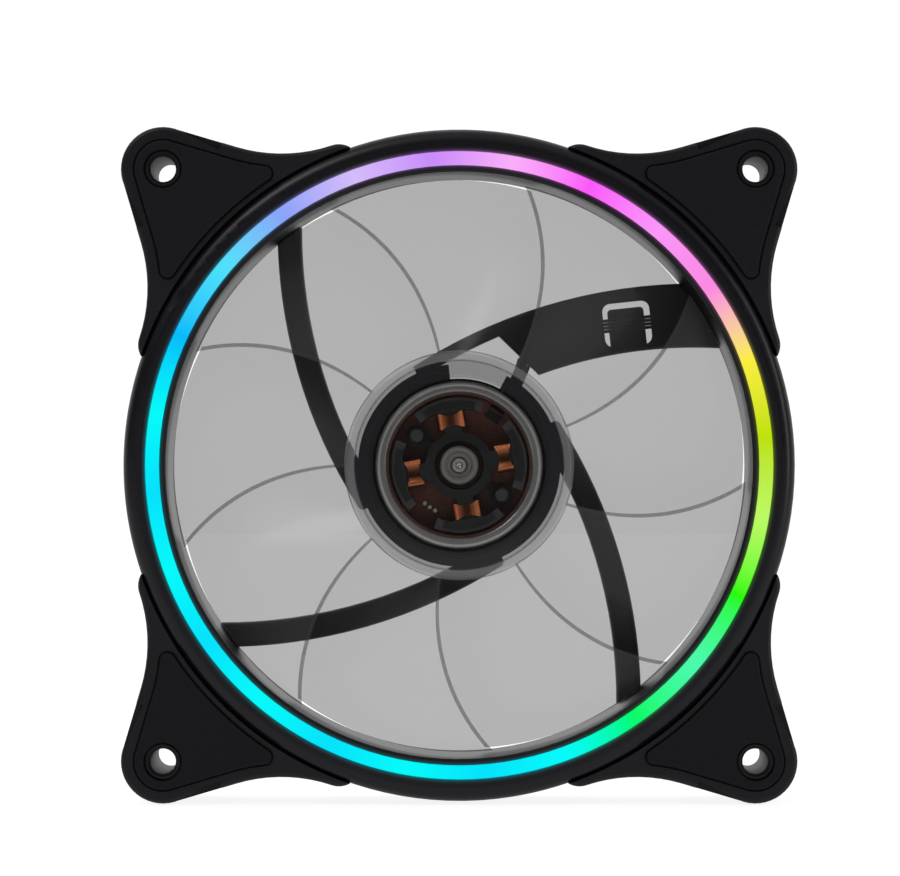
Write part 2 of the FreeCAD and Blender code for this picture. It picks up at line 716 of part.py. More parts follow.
def light_diffuser():
    top = FRONT - DIFFUSER_SINK
    bottom = top - DIFFUSER_HEIGHT
    step = BEZEL_SEAT - FIT_GAP
    inner, outer = LIP_R + SEAT_GAP / 2, BEZEL_IN - SEAT_GAP / 2
    shelf = outer + DIFFUSER_FLANGE
    profile = [(inner, bottom), (shelf, bottom), (shelf, step), (outer, step), (outer, top), (inner, top)]
    ring = spin(profile)
    return ring.makeFillet(BEZEL_EASE, rims(ring, inner, top) + rims(ring, outer, top))


def light_board():
    return tube(BOARD_IN, BOARD_OUT, CHANNEL_TOP, LED_SEAT)


def led(angle):
    body = block(LED_SIZE, LED_SIZE, LED_SEAT, LED_SEAT + LED_HEIGHT)
    window = disc(LED_WINDOW_R, LED_SEAT + LED_HEIGHT - LED_WINDOW_DEPTH, LED_SEAT + LED_HEIGHT + OVER)
    body = body.cut(window)
    body.translate(Vector(LED_RADIUS, 0, 0))
    return turned(body, angle)


def light_board_capacitors():
    step = 360 / LED_COUNT
    chips = []
    for index in range(LED_COUNT):
        angle = LED_FIRST + step * (index + 0.5)
        chips.append(block(CHIP_SIZE, CHIP_SIZE * 0.6, LED_SEAT, LED_SEAT + CHIP_HEIGHT,
                           polar(LED_RADIUS, angle), angle))
    return Part.makeCompound(chips)


# ---------------------------------------------------------------- motor, fixed side


def arm_frame(shape, index):
    return turned(shape, POLE_FIRST + index * 360 / POLES)


def pole_star(hub_r, arm_width, shoe_in, shoe_out, span, low, high):
    """A hub with one arm and one curved shoe for each pole."""
    star = disc(hub_r, low, high)
    reach = (shoe_in + shoe_out) / 2
    for index in range(POLES):
        arm = Part.makeBox(reach, arm_width, high - low, Vector(0, -arm_width / 2, low))
        shoe = sector(shoe_out, -span / 2, span / 2, low, high).cut(disc(shoe_in, low - OVER, high + OVER))
        star = star.fuse(arm_frame(arm.fuse(shoe), index))
    return star


def stator_core():
    star = pole_star(CORE_HUB_R, ARM_WIDTH, SHOE_IN, STATOR_R, SHOE_SPAN, STACK_BOTTOM, STACK_TOP)
    return star.cut(disc(COLLAR_BORE, STACK_BOTTOM - OVER, STACK_TOP + OVER)).removeSplitter()


def insulator(face, away):
    """An end cap for the stack: face is the stack's end, away is +1 up or -1 down."""

    def layer(inner_shape, near, far):
        low, high = sorted((face + away * near, face + away * far))
        return inner_shape(low, high)

    rise = INSULATOR + COIL_THICK + FIT_GAP
    plate = layer(lambda low, high: pole_star(CORE_HUB_R, ARM_WIDTH, SHOE_IN, STATOR_R - AIR_GAP,
                                              INSULATOR_SHOE_SPAN, low, high), 0, INSULATOR)
    hub = layer(lambda low, high: disc(INSULATOR_HUB_R, low, high), 0, rise)
    inner_r = COIL_OUT + FIT_GAP
    walls = []
    for index in range(POLES):
        wall = layer(lambda low, high: block(BOBBIN_WALL, BOBBIN_WIDTH, low, high,
                                             Vector(inner_r + BOBBIN_WALL / 2, 0, 0)), 0, rise)
        walls.append(arm_frame(wall, index))
    cap = plate.multiFuse([hub] + walls)
    return cap.cut(disc(COLLAR_BORE, REAR, FRONT)).removeSplitter()


def upper_insulator():
    return insulator(STACK_TOP, 1)


def lower_insulator():
    """The lower cap carries a lug round each post and four feet on the board."""
    cap = insulator(STACK_BOTTOM, -1)
    low = STACK_BOTTOM - INSULATOR - COIL_THICK - FIT_GAP
    for angle in POST_ANGLES:
        lug = disc(POST_R + POST_LUG, low, STACK_BOTTOM - INSULATOR, polar(POST_RADIUS, angle))
        link = block(POST_RADIUS - INSULATOR_HUB_R + 1, POST_LUG * 2, low, STACK_BOTTOM - INSULATOR,
                     polar((POST_RADIUS + INSULATOR_HUB_R - 1) / 2, angle), angle)
        cap = cap.multiFuse([lug, link])
        cap = cap.cut(disc(POST_R + FIT_GAP, REAR, FRONT, polar(POST_RADIUS, angle)))
    foot = tube(COLLAR_BORE, INSULATOR_HUB_R, BOARD_TOP, low)
    return cap.fuse(foot).cut(disc(COLLAR_BORE, REAR, FRONT)).removeSplitter()


def coil(index):
    """One winding: a rounded loop round the pole's arm."""
    half_width = ARM_WIDTH / 2 + FIT_GAP
    low, high = STACK_BOTTOM - INSULATOR - FIT_GAP / 2, STACK_TOP + INSULATOR + FIT_GAP / 2
    outer = Part.makeBox(COIL_LENGTH, 2 * (half_width + COIL_THICK), high - low + 2 * COIL_THICK - FIT_GAP,
                         Vector(COIL_IN, -half_width - COIL_THICK, low - COIL_THICK + FIT_GAP / 2))
    hole = Part.makeBox(COIL_LENGTH + 2 * OVER, 2 * half_width, high - low,
                        Vector(COIL_IN - OVER, -half_width, low))
    outer = outer.makeFillet(COIL_ROUND, outer.Edges)
    return arm_frame(outer.cut(hole), index)


def motor_board():
    return tube(COLLAR_BORE, MOTOR_BOARD_R, BOARD_BOTTOM, BOARD_TOP).cut(lead_end_slot())


def lead_end_slot():
    """The cut in the board's edge where the lead is soldered."""
    route = lead_route()
    return path_band(route[:2], LEAD_WIDTH + 2 * LEAD_GAP, BOARD_BOTTOM - OVER, BOARD_TOP + OVER)


def chip(size, radius, angle):
    length, width, height = size
    return block(length, width, BOARD_TOP, BOARD_TOP + height, polar(radius, angle), angle)


def driver_chip():
    return chip(DRIVER_SIZE, DRIVER_RADIUS, DRIVER_ANGLE)


def hall_sensor():
    return chip(SENSOR_SIZE, SENSOR_RADIUS, SENSOR_ANGLE)


def motor_capacitors():
    return Part.makeCompound([chip(CAPACITOR_SIZE, CAPACITOR_RADIUS, angle) for angle in CAPACITOR_ANGLES])


def terminal_pins():
    low, high = BOARD_TOP, BOBBIN_LOW - FIT_GAP
    return Part.makeCompound([disc(PIN_R, low, high, polar(POST_RADIUS, angle)) for angle in PIN_ANGLES])


def stator_posts():
    posts = []
    for angle in POST_ANGLES:
        post = disc(POST_R, BOARD_TOP, STACK_TOP + INSULATOR, polar(POST_RADIUS, angle))
        posts.append(post.makeFillet(POST_R / 3, flat_edges(post, STACK_TOP + INSULATOR)))
    return Part.makeCompound(posts)


def bearing_tube():
    return tube(TUBE_BORE, TUBE_R, FLOOR_TOP, TUBE_TOP)


def sleeve_bearing():
    sleeve = tube(SHAFT_R + BEARING_PLAY, BEARING_R, BEARING_BOTTOM, BEARING_TOP)
    return sleeve.makeChamfer(TUBE_WALL / 4, rims(sleeve, BEARING_R, BEARING_TOP))


def oil_seal():
    return tube(SHAFT_R + SEAL_PLAY, BEARING_R, BEARING_TOP, SEAL_TOP)


def thrust_pad():
    return disc(BEARING_R, FLOOR_TOP, FLOOR_TOP + PAD_THICK)


def rear_cap():
    return disc(BEARING_R, BACK_FACE + LABEL_RECESS, FLOOR_TOP)


def rear_label():
    return disc(LABEL_R, BACK_FACE + LABEL_RECESS - LABEL_THICK, BACK_FACE + LABEL_RECESS)


def lead_ribbon():
    """The flat lead that joins the motor board to the light board."""
    route = lead_route()
    flat = path_band(route, LEAD_WIDTH, LEAD_BOTTOM, LEAD_TOP)
    rise = block(LEAD_THICK, LEAD_WIDTH, LEAD_BOTTOM, CHANNEL_TOP, route[-1], LEAD_EXIT)
    return flat.fuse(rise).removeSplitter()


# ---------------------------------------------------------------- rotor


def yoke():
    wall = tube(YOKE_IN, YOKE_R, YOKE_BOTTOM, YOKE_TOP)
    lip = tube(YOKE_R - YOKE_LIP, YOKE_R, YOKE_TOP - YOKE_WALL, YOKE_TOP)
    cup = wall.fuse(lip).removeSplitter()
    cup = cup.makeFillet(YOKE_WALL * 0.8, rims(cup, YOKE_R, YOKE_TOP))
    return cup.makeFillet(YOKE_WALL * 0.5, rims(cup, YOKE_R - YOKE_LIP, YOKE_TOP))


def magnet_ring():
    ring = tube(MAGNET_IN, MAGNET_OUT, MAGNET_BOTTOM, MAGNET_TOP)
    return ring.makeChamfer(FIT_GAP * 4, rims(ring, MAGNET_IN, MAGNET_TOP))


def shaft():
    rod = disc(SHAFT_R, SHAFT_BOTTOM, SHAFT_TOP)
    rod = rod.makeChamfer(SHAFT_R * 0.2, rims(rod, SHAFT_R, SHAFT_BOTTOM) + rims(rod, SHAFT_R, SHAFT_TOP))
    groove = tube(SHAFT_R - CLIP_GROOVE, SHAFT_R + OVER, CLIP_BOTTOM, CLIP_TOP + FIT_GAP)
    dimple = Part.makeSphere(SHAFT_DIMPLE_R, Vector(0, 0, SHAFT_TOP + SHAFT_DIMPLE_R * 0.4))
    return rod.cut(groove).cut(dimple)


def retaining_clip():
    ring = tube(SHAFT_R - CLIP_GROOVE, CLIP_R, CLIP_BOTTOM, CLIP_TOP)
    mouth = Part.makeBox(CLIP_R + OVER, CLIP_MOUTH, OVER, Vector(0, -CLIP_MOUTH / 2, CLIP_BOTTOM - OVER / 2))
    return ring.cut(mouth)


def shaft_insert():
    bush = tube(SHAFT_R, INSERT_R, BOSS_BOTTOM, INSERT_TOP)
    cup = disc(INSERT_CUP_R, INSERT_TOP - INSERT_CUP_DEPTH, INSERT_TOP + OVER)
    bush = bush.cut(cup)
    edges = rims(bush, INSERT_R, INSERT_TOP) + rims(bush, INSERT_CUP_R, INSERT_TOP)
    return bush.makeChamfer(FIT_GAP * 4, edges)


def hub():
    """The clear hub: cap, skirt, yoke collar and shaft boss."""
    shell = disc(HUB_R, HUB_BOTTOM, HUB_TOP)
    shell = shell.makeFillet(HUB_ROUND, rims(shell, HUB_R, HUB_TOP))
    inner = disc(HUB_R - HUB_WALL, HUB_BOTTOM - OVER, CAP_UNDER)
    inner = inner.makeFillet(HUB_ROUND / 2, rims(inner, HUB_R - HUB_WALL, CAP_UNDER))
    shell = shell.cut(inner)
    collar = tube(YOKE_R + FIT_GAP, COLLAR_R, YOKE_TOP - YOKE_COLLAR_DEPTH, CAP_UNDER + OVER / 4)
    step = tube(YOKE_R - YOKE_STEP, YOKE_R + YOKE_COLLAR / 2, YOKE_TOP + FIT_GAP, CAP_UNDER + OVER / 4)
    boss = disc(INSERT_R + BOSS_WALL, BOSS_BOTTOM, CAP_UNDER + OVER / 4)
    body = shell.multiFuse([collar, step, boss])
    body = body.cut(disc(INSERT_R, BOSS_BOTTOM - OVER, HUB_TOP + OVER))
    return body.removeSplitter()


def blade_grids():
    """Points over one blade's two faces, root to tip and trailing to leading edge."""
    rows, columns = 7, 9
    root = HUB_R - BLADE_ROOT
    middle_height = (BLADE_LOW + BLADE_HIGH) / 2
    half_height = (BLADE_HIGH - BLADE_LOW) / 2
    upper, lower = [], []
    for row in range(rows):
        span = row / (rows - 1)
        radius = root + (TIP_R - root) * span
        lag = BLADE_SWEEP * (span ** BLADE_SWEEP_POWER - 0.5)
        rise = 2 * (half_height - BLADE_MID - BLADE_CAMBER / 2 - BLADE_TIP_RISE * span)
        pitch = math.atan2(rise, math.radians(BLADE_COVER) * radius)
        thin = (1 - BLADE_THINNING * span) / math.cos(pitch)
        upper_row, lower_row = [], []
        for column in range(columns):
            across = column / (columns - 1)
            bulge = 4 * across * (1 - across)
            angle = BLADE_COVER * (across - 0.5) + lag
            height = middle_height + rise * (across - 0.5) + BLADE_CAMBER * (bulge - 0.5)
            half = thin * (BLADE_EDGE + (BLADE_MID - BLADE_EDGE) * bulge) / 2
            upper_row.append(polar(radius, angle, height + half))
            lower_row.append(polar(radius, angle, height - half))
        upper.append(upper_row)
        lower.append(lower_row)
    return upper, lower


def border(skin):
    """A face's four border curves, in one fixed order."""
    first_u, last_u, first_v, last_v = skin.bounds()
    curves = [skin.uIso(first_u), skin.uIso(last_u), skin.vIso(first_v), skin.vIso(last_v)]
    return [curve.toShape() for curve in curves]


def blade():
    """One swept, cambered blade, thinner to the tip; its leading edge is nearest the front."""
    skins = []
    for grid in blade_grids():
        skin = Part.BSplineSurface()
        skin.interpolate(grid)
        skins.append(skin)
    faces = [skin.toShape() for skin in skins]
    faces += [Part.makeRuledSurface(one, other) for one, other in zip(border(skins[0]), border(skins[1]))]
    shell = Part.makeShell(faces)
    shell.sewShape()
    solid = Part.makeSolid(shell)
    solid.fix(1e-4, 1e-4, 1e-3)
    if solid.Volume < 0:
        solid.reverse()
    return solid


def impeller():
    one = blade()
    blades = [turned(one, BLADE_FIRST + index * 360 / BLADES) for index in range(BLADES)]
    return hub().multiFuse(blades)


# ---------------------------------------------------------------- write every piece

os.makedirs("parts", exist_ok=True)

save("frame", frame())
save("bezel_ring", bezel_ring())
save("light_diffuser", light_diffuser())
save("light_board", light_board())
for number in range(LED_COUNT):
    save("led_%02d" % (number + 1), led(LED_FIRST + number * 360 / LED_COUNT))
save("light_board_capacitors", light_board_capacitors())

CORNERS = ("upper_right", "upper_left", "lower_left", "lower_right")
for pad, corner in zip(four(front_pad()), CORNERS):
    save("front_pad_" + corner, pad)
for pad, corner in zip(four(to_rear(front_pad())), CORNERS[1:] + CORNERS[:1]):
    save("rear_pad_" + corner, pad)

save("motor_board", motor_board())
save("driver_chip", driver_chip())
save("hall_sensor", hall_sensor())
save("motor_capacitors", motor_capacitors())
save("stator_core", stator_core())
save("upper_insulator", upper_insulator())
save("lower_insulator", lower_insulator())
for number in range(POLES):
    save("coil_%d" % (number + 1), coil(number))
save("terminal_pins", terminal_pins())
save("stator_posts", stator_posts())
save("bearing_tube", bearing_tube())
save("sleeve_bearing", sleeve_bearing())
save("oil_seal", oil_seal())
save("thrust_pad", thrust_pad())
save("rear_cap", rear_cap())
save("rear_label", rear_label())
save("lead_ribbon", lead_ribbon())

save("impeller", impeller())
save("yoke", yoke())
save("magnet_ring", magnet_ring())
save("shaft", shaft())
save("shaft_insert", shaft_insert())
save("retaining_clip", retaining_clip())
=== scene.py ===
"""A case fan: how it looks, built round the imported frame.

Lengths are in metres. X is to the right seen from the front, +Y runs from the front
face to the rear along the shaft, and Z is up.
"""
import json
import math
import bpy
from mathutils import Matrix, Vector


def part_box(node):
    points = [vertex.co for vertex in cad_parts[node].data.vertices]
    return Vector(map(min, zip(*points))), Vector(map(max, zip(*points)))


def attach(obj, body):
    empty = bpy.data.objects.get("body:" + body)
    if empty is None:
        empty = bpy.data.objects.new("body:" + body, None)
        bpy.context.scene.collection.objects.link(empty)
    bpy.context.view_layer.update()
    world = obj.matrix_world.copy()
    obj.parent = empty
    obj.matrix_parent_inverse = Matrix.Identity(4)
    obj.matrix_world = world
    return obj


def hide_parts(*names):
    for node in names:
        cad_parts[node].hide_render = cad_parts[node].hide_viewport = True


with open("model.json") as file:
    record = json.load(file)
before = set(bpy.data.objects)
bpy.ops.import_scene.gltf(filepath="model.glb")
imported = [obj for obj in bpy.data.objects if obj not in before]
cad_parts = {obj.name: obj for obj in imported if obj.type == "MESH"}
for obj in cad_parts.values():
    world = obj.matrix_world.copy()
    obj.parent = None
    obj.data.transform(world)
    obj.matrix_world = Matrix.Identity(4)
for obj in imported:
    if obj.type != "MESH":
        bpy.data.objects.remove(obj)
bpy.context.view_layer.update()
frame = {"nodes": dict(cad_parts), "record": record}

NODES = frame["nodes"]
MM = 0.001


# ---------------------------------------------------------------- measures of the frame


def depth_range(name):
    """A node's front and rear, as places along the shaft."""
    low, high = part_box(name)
    return low.y, high.y


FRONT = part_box("front_pad_upper_right")[0].y
FLOOR_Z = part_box("frame")[0].z
DIFFUSER_FRONT = depth_range("light_diffuser")[0]
DIFFUSER_IN = 53.2 * MM     # the lit face's inner and outer edges
DIFFUSER_OUT = 55.6 * MM
DUCT_R = 52.0 * MM
HUB_R = 20.4 * MM
YOKE_R = 15.0 * MM
POLES = 4
POLE_FIRST = 10.0           # the first pole's angle, in degrees counterclockwise from the right
PAINTED_GLOW_WIDTH = 0.9 * MM      # how far the ring's light, painted as a glow, creeps over its neighbours

# ---------------------------------------------------------------- camera, world and lights

CAMERA_DISTANCE = 0.760     # lens to the fan's front face
LENS = 171.8
SENSOR = 36.0
SHIFT_RIGHT = -0.0102
SHIFT_UP = 0.0303

LEVEL_SEEN = 1.04           # the white that the eye sees all round
LEVEL_BEHIND = 1.0          # what reflections see behind the fan,
LEVEL_BEFORE = 0.045        # before it,
LEVEL_ABOVE = 0.6           # and above it

FLOOR_SIZE = 6
FLOOR_DROP = 0.0002         # below the fan's lowest point
FLOOR_SEEN = 0.88           # its glow to the eye, which hides it but for a faint shadow
FLOOR_GLOW = 0.40           # and to everything else


def place_camera():
    """Straight before the fan, level with its shaft."""
    data = bpy.data.cameras.new("camera")
    data.lens = LENS
    data.sensor_width = SENSOR
    data.shift_x = SHIFT_RIGHT
    data.shift_y = SHIFT_UP
    data.clip_start = 0.01
    data.clip_end = 20
    camera = bpy.data.objects.new("camera", data)
    bpy.context.scene.collection.objects.link(camera)
    camera.location = (0, FRONT - CAMERA_DISTANCE, 0)
    camera.rotation_euler = (math.radians(90), 0, 0)
    bpy.context.scene.camera = camera


def light_world():
    """White to the eye; in reflections bright behind and above the fan, dim before it."""
    world = bpy.data.worlds.new("studio")
    bpy.context.scene.world = world
    world.use_nodes = True
    world.node_tree.nodes.clear()
    paper = Paper(world.node_tree)
    toward = paper.node("ShaderNodeSeparateXYZ")
    paper.link(paper.node("ShaderNodeTexCoord").outputs["Generated"], toward.inputs[0])
    behind = paper.spread(toward.outputs["Y"], -0.15, 0.45, LEVEL_BEFORE, LEVEL_BEHIND)
    above = paper.spread(toward.outputs["Z"], 0.1, 0.9, 0.0, LEVEL_ABOVE)
    studio = paper.node("ShaderNodeBackground")
    paper.link(paper.math("MAXIMUM", behind, above), studio.inputs["Strength"])
    eye = paper.node("ShaderNodeBackground")
    eye.inputs["Color"].default_value = (1, 1, 1, 1)
    eye.inputs["Strength"].default_value = LEVEL_SEEN
    choice = paper.node("ShaderNodeMixShader")
    paper.link(paper.node("ShaderNodeLightPath").outputs["Is Camera Ray"], choice.inputs[0])
    paper.link(studio.outputs[0], choice.inputs[1])
    paper.link(eye.outputs[0], choice.inputs[2])
    paper.link(choice.outputs[0], paper.node("ShaderNodeOutputWorld").inputs["Surface"])


def soft_box(name, place, aim, size, power):
    """A rectangular lamp that faces a point."""
    data = bpy.data.lights.new(name, "AREA")
    data.shape = "RECTANGLE"
    data.size, data.size_y = size
    data.energy = power
    light = bpy.data.objects.new(name, data)
    bpy.context.scene.collection.objects.link(light)
    light.location = place
    light.rotation_euler = (Vector(aim) - Vector(place)).to_track_quat("-Z", "Y").to_euler()


def lay_floor():
    """A pale floor that melts into the white round it."""
    bpy.ops.mesh.primitive_plane_add(size=FLOOR_SIZE, location=(0, 0, FLOOR_Z - FLOOR_DROP))
    floor = bpy.context.object
    floor.name = "floor"
    material = bpy.data.materials.new("pale_floor")
    material.use_nodes = True
    shader = material.node_tree.nodes["Principled BSDF"]
    shader.inputs["Base Color"].default_value = (0.3, 0.3, 0.3, 1)
    shader.inputs["Roughness"].default_value = 0.9
    shader.inputs["Emission Color"].default_value = (1, 1, 1, 1)
    paper = Paper(material.node_tree)
    to_eye = paper.node("ShaderNodeLightPath").outputs["Is Camera Ray"]
    paper.link(paper.spread(to_eye, 0.0, 1.0, FLOOR_GLOW, FLOOR_SEEN), shader.inputs["Emission Strength"])
    floor.data.materials.append(material)


# ---------------------------------------------------------------- shader helpers


class Paper:
    """A material's or a group's node tree, with short ways to add nodes."""

    def __init__(self, tree):
        self.tree = tree

    def node(self, kind, **settings):
        made = self.tree.nodes.new(kind)
        for key, value in settings.items():
            setattr(made, key, value)
        return made

    def link(self, start, end):
        self.tree.links.new(start, end)

    def put(self, value, socket):
        """Feed a socket from another node's output, or with a plain value."""
        if hasattr(value, "is_output"):
            self.link(value, socket)
        else:
            socket.default_value = value

    def math(self, operation, *values):
        made = self.node("ShaderNodeMath", operation=operation)
        for index, value in enumerate(values):
            self.put(value, made.inputs[index])
        return made.outputs[0]

    def spread(self, value, low, high, to_low, to_high):
        """A value carried from one range to another, held at the ends."""
        made = self.node("ShaderNodeMapRange")
        self.link(value, made.inputs["Value"])
        for key, number in zip(("From Min", "From Max", "To Min", "To Max"), (low, high, to_low, to_high)):
            made.inputs[key].default_value = number
        return made.outputs[0]

    def place(self):
        """Where a point lies on its own object, with X, Y and Z apart."""
        split = self.node("ShaderNodeSeparateXYZ")
        self.link(self.node("ShaderNodeTexCoord").outputs["Object"], split.inputs[0])
        return split

    def scale(self, color, factor):
        made = self.node("ShaderNodeVectorMath", operation="SCALE")
        self.link(color, made.inputs[0])
        self.link(factor, made.inputs["Scale"])
        return made.outputs[0]

    def radius(self, split):
        """Distance from the shaft, from the separated object coordinates."""
        return self.math("SQRT", self.math("ADD", self.math("POWER", split.outputs["X"], 2.0),
                                           self.math("POWER", split.outputs["Z"], 2.0)))

    def ring_mask(self, split, inner, outer, soft):
        """1 between two radii, fading over a soft edge."""
        radius = self.radius(split)
        inside = self.spread(radius, inner - soft, inner, 0.0, 1.0)
        return self.math("MULTIPLY", inside, self.spread(radius, outer, outer + soft, 1.0, 0.0))

    def noise(self, coordinates, scale, detail=2.0):
        """Soft noise; the scale is a number or another node's value."""
        made = self.node("ShaderNodeTexNoise")
        self.link(coordinates, made.inputs["Vector"])
        self.put(scale, made.inputs["Scale"])
        made.inputs["Detail"].default_value = detail
        return made.outputs["Fac"]

    def mix(self, amount, one, other):
        """One colour turning into another as the amount goes from 0 to 1."""
        made = self.node("ShaderNodeMix", data_type="RGBA")
        for index, value in ((0, amount), (6, one), (7, other)):
            self.put(value, made.inputs[index])
        return made.outputs[2]


def new_group(name, inputs, outputs):
    """A shader node group; inputs and outputs are (name, kind, default) lists."""
    group = bpy.data.node_groups.new(name, "ShaderNodeTree")
    for label, kind, value in inputs:
        socket = group.interface.new_socket(label, in_out="INPUT", socket_type=kind)
        socket.default_value = value
    for label, kind in outputs:
        group.interface.new_socket(label, in_out="OUTPUT", socket_type=kind)
    paper = Paper(group)
    return group, paper, paper.node("NodeGroupInput"), paper.node("NodeGroupOutput")


FLOAT, COLOR = "NodeSocketFloat", "NodeSocketColor"
CLOUD_SCALE = 60.0          # clouds per metre on a moulded face
BORE_ROUGHNESS = 0.33       # the duct is polished where the blades pass
BLADE_HAZE = 0.365          # how much one surface of a blade hides, seen square on
BLADE_EDGE_HAZE = 0.42      # and seen edge on
HUB_HAZE = 0.03             # the same for the hub's face
HUB_EDGE_HAZE = 0.62
FOOT_HAZE = 0.55            # the hub between the motor and its side wall
WALL_HAZE = 0.58            # the hub's side wall, seen along its length


def moulded_grain():
    """Fine spark-eroded grain with faint cloudiness, as on a moulded face."""
    inputs = [("Color", COLOR, (0.01, 0.01, 0.012, 1)), ("Roughness", FLOAT, 0.5),
              ("Grain Size", FLOAT, 2500.0), ("Cloudiness", FLOAT, 0.15), ("Speckle", FLOAT, 0.2)]
    outputs = [("Color", COLOR), ("Roughness", FLOAT), ("Height", FLOAT)]
    group, paper, given, result = new_group("moulded_grain", inputs, outputs)
    place = paper.node("ShaderNodeTexCoord").outputs["Object"]
    grain = paper.noise(place, given.outputs["Grain Size"], 3.0)
    fleck = paper.spread(grain, 0.35, 0.65, -1.0, 1.0)
    cloud = paper.spread(paper.noise(place, CLOUD_SCALE, 3.0), 0.3, 0.7, -1.0, 1.0)
    change = paper.math("ADD", paper.math("MULTIPLY", fleck, given.outputs["Speckle"]),
                        paper.math("MULTIPLY", cloud, given.outputs["Cloudiness"]))
    paper.link(paper.scale(given.outputs["Color"], paper.math("ADD", change, 1.0)), result.inputs["Color"])
    rough = paper.math("ADD", given.outputs["Roughness"], paper.math("MULTIPLY", change, 0.12))
    paper.link(rough, result.inputs["Roughness"])
    paper.link(grain, result.inputs["Height"])
    return group


def turning_rings():
    """Fine rings about the shaft, as a lathe or a die leaves."""
    inputs = [("Color", COLOR, (0.5, 0.5, 0.5, 1)), ("Roughness", FLOAT, 0.3),
              ("Rings per Metre", FLOAT, 6000.0), ("Contrast", FLOAT, 0.15)]
    outputs = [("Color", COLOR), ("Roughness", FLOAT), ("Height", FLOAT)]
    group, paper, given, result = new_group("turning_rings", inputs, outputs)
    place = paper.node("ShaderNodeTexCoord").outputs["Object"]
    split = paper.node("ShaderNodeSeparateXYZ")
    paper.link(place, split.inputs[0])
    radius = paper.radius(split)
    along = paper.math("ADD", radius, split.outputs["Y"])
    pace = paper.math("MULTIPLY", given.outputs["Rings per Metre"], math.tau)
    wave = paper.math("SINE", paper.math("MULTIPLY", along, pace))
    uneven = paper.spread(paper.noise(place, 900.0), 0.3, 0.7, 0.3, 1.0)
    change = paper.math("MULTIPLY", paper.math("MULTIPLY", wave, uneven), given.outputs["Contrast"])
    paper.link(paper.scale(given.outputs["Color"], paper.math("ADD", change, 1.0)), result.inputs["Color"])
    paper.link(paper.math("ADD", given.outputs["Roughness"], paper.math("MULTIPLY", change, 0.4)),
               result.inputs["Roughness"])
    paper.link(wave, result.inputs["Height"])
    return group


# The lamps round the ring, counterclockwise from the right: each one's own colour, pale over
# the lamp itself, then the deeper colour half way to the next
CYAN = [((0.0, 1.0, 1.0), (0.0, 0.9, 1.0))]
LAMPS = [
    ((1.0, 0.95, 0.25), (1.0, 0.55, 0.9)),      # yellow, rose
    ((1.0, 0.6, 1.0), (1.0, 0.35, 1.0)),        # pink, magenta
    ((1.0, 0.7, 1.0), (0.8, 0.55, 1.0)),        # orchid, violet
    ((0.85, 0.75, 1.0), (0.55, 0.65, 1.0)),     # lavender, periwinkle
    ((0.3, 0.9, 1.0), (0.0, 0.75, 1.0)),        # sky, azure
] + 4 * CYAN + [
    ((0.0, 1.0, 1.0), (0.0, 1.0, 0.4)),         # cyan, green
    ((0.3, 1.0, 0.7), (0.15, 1.0, 0.0)),        # mint, leaf
    ((0.75, 1.0, 0.4), (0.75, 0.9, 0.0)),       # lime, moss
]
FIRST_LAMP = 20.0           # degrees
LAMP_LEVEL = 0.98           # just short of white in the brightest channel


def screen_to_linear(value):
    """A screen's colour value as an amount of light."""
    return value / 12.92 if value <= 0.04045 else ((value + 0.055) / 1.055) ** 2.4


def ring_of_light():
    """The lit ring's colour by the angle round the shaft, and a painted glow of its light over its
    neighbours.
    """
    group, paper, given, result = new_group("ring_of_light", [], [("Color", COLOR), ("Painted Glow", COLOR)])
    split = paper.place()
    angle = paper.math("ARCTAN2", split.outputs["Z"], split.outputs["X"])
    share = paper.math("DIVIDE", angle, math.tau)
    turn = paper.math("FRACT", paper.math("ADD", share, 1 - FIRST_LAMP / 360))
    ramp = paper.node("ShaderNodeValToRGB")
    paper.link(turn, ramp.inputs[0])
    colors = [color for lamp in LAMPS for color in lamp] + [LAMPS[0][0]]
    elements = ramp.color_ramp.elements
    while len(elements) < len(colors):
        elements.new(0.5)
    for index, element in enumerate(elements):
        element.position = index / (len(colors) - 1)
    for element, color in zip(elements, colors):
        element.color = [screen_to_linear(LAMP_LEVEL * channel) for channel in color] + [1]
    paper.link(ramp.outputs[0], result.inputs["Color"])
    # painted light: the ring's colour as a glow on the surfaces next to it, fading away from the ring and
    # toward the rear
    near = paper.math("POWER", paper.ring_mask(split, DIFFUSER_IN, DIFFUSER_OUT, PAINTED_GLOW_WIDTH), 2.0)
    front = paper.spread(split.outputs["Y"], DIFFUSER_FRONT, DIFFUSER_FRONT + 2 * PAINTED_GLOW_WIDTH, 1.0, 0.0)
    paper.link(paper.scale(ramp.outputs[0], paper.math("MULTIPLY", near, front)), result.inputs["Painted Glow"])
    return group


GRAIN = moulded_grain()
RINGS = turning_rings()
LIGHT = ring_of_light()


def principled(name):
    """A new material with its paper and its one Principled shader."""
    material = bpy.data.materials.new(name)
    material.use_nodes = True
    paper = Paper(material.node_tree)
    return material, paper, material.node_tree.nodes["Principled BSDF"]


def use_group(paper, group, **values):
    """Put a group on the paper; its inputs are named with _ for a space."""
    made = paper.node("ShaderNodeGroup", node_tree=group)
    for label, value in values.items():
        made.inputs[label.replace("_", " ")].default_value = value
    return made


def bump(paper, height, shader, distance):
    made = paper.node("ShaderNodeBump")
    made.inputs["Strength"].default_value = 1.0
    made.inputs["Distance"].default_value = distance
    paper.link(height, made.inputs["Height"])
    paper.link(made.outputs["Normal"], shader.inputs["Normal"])


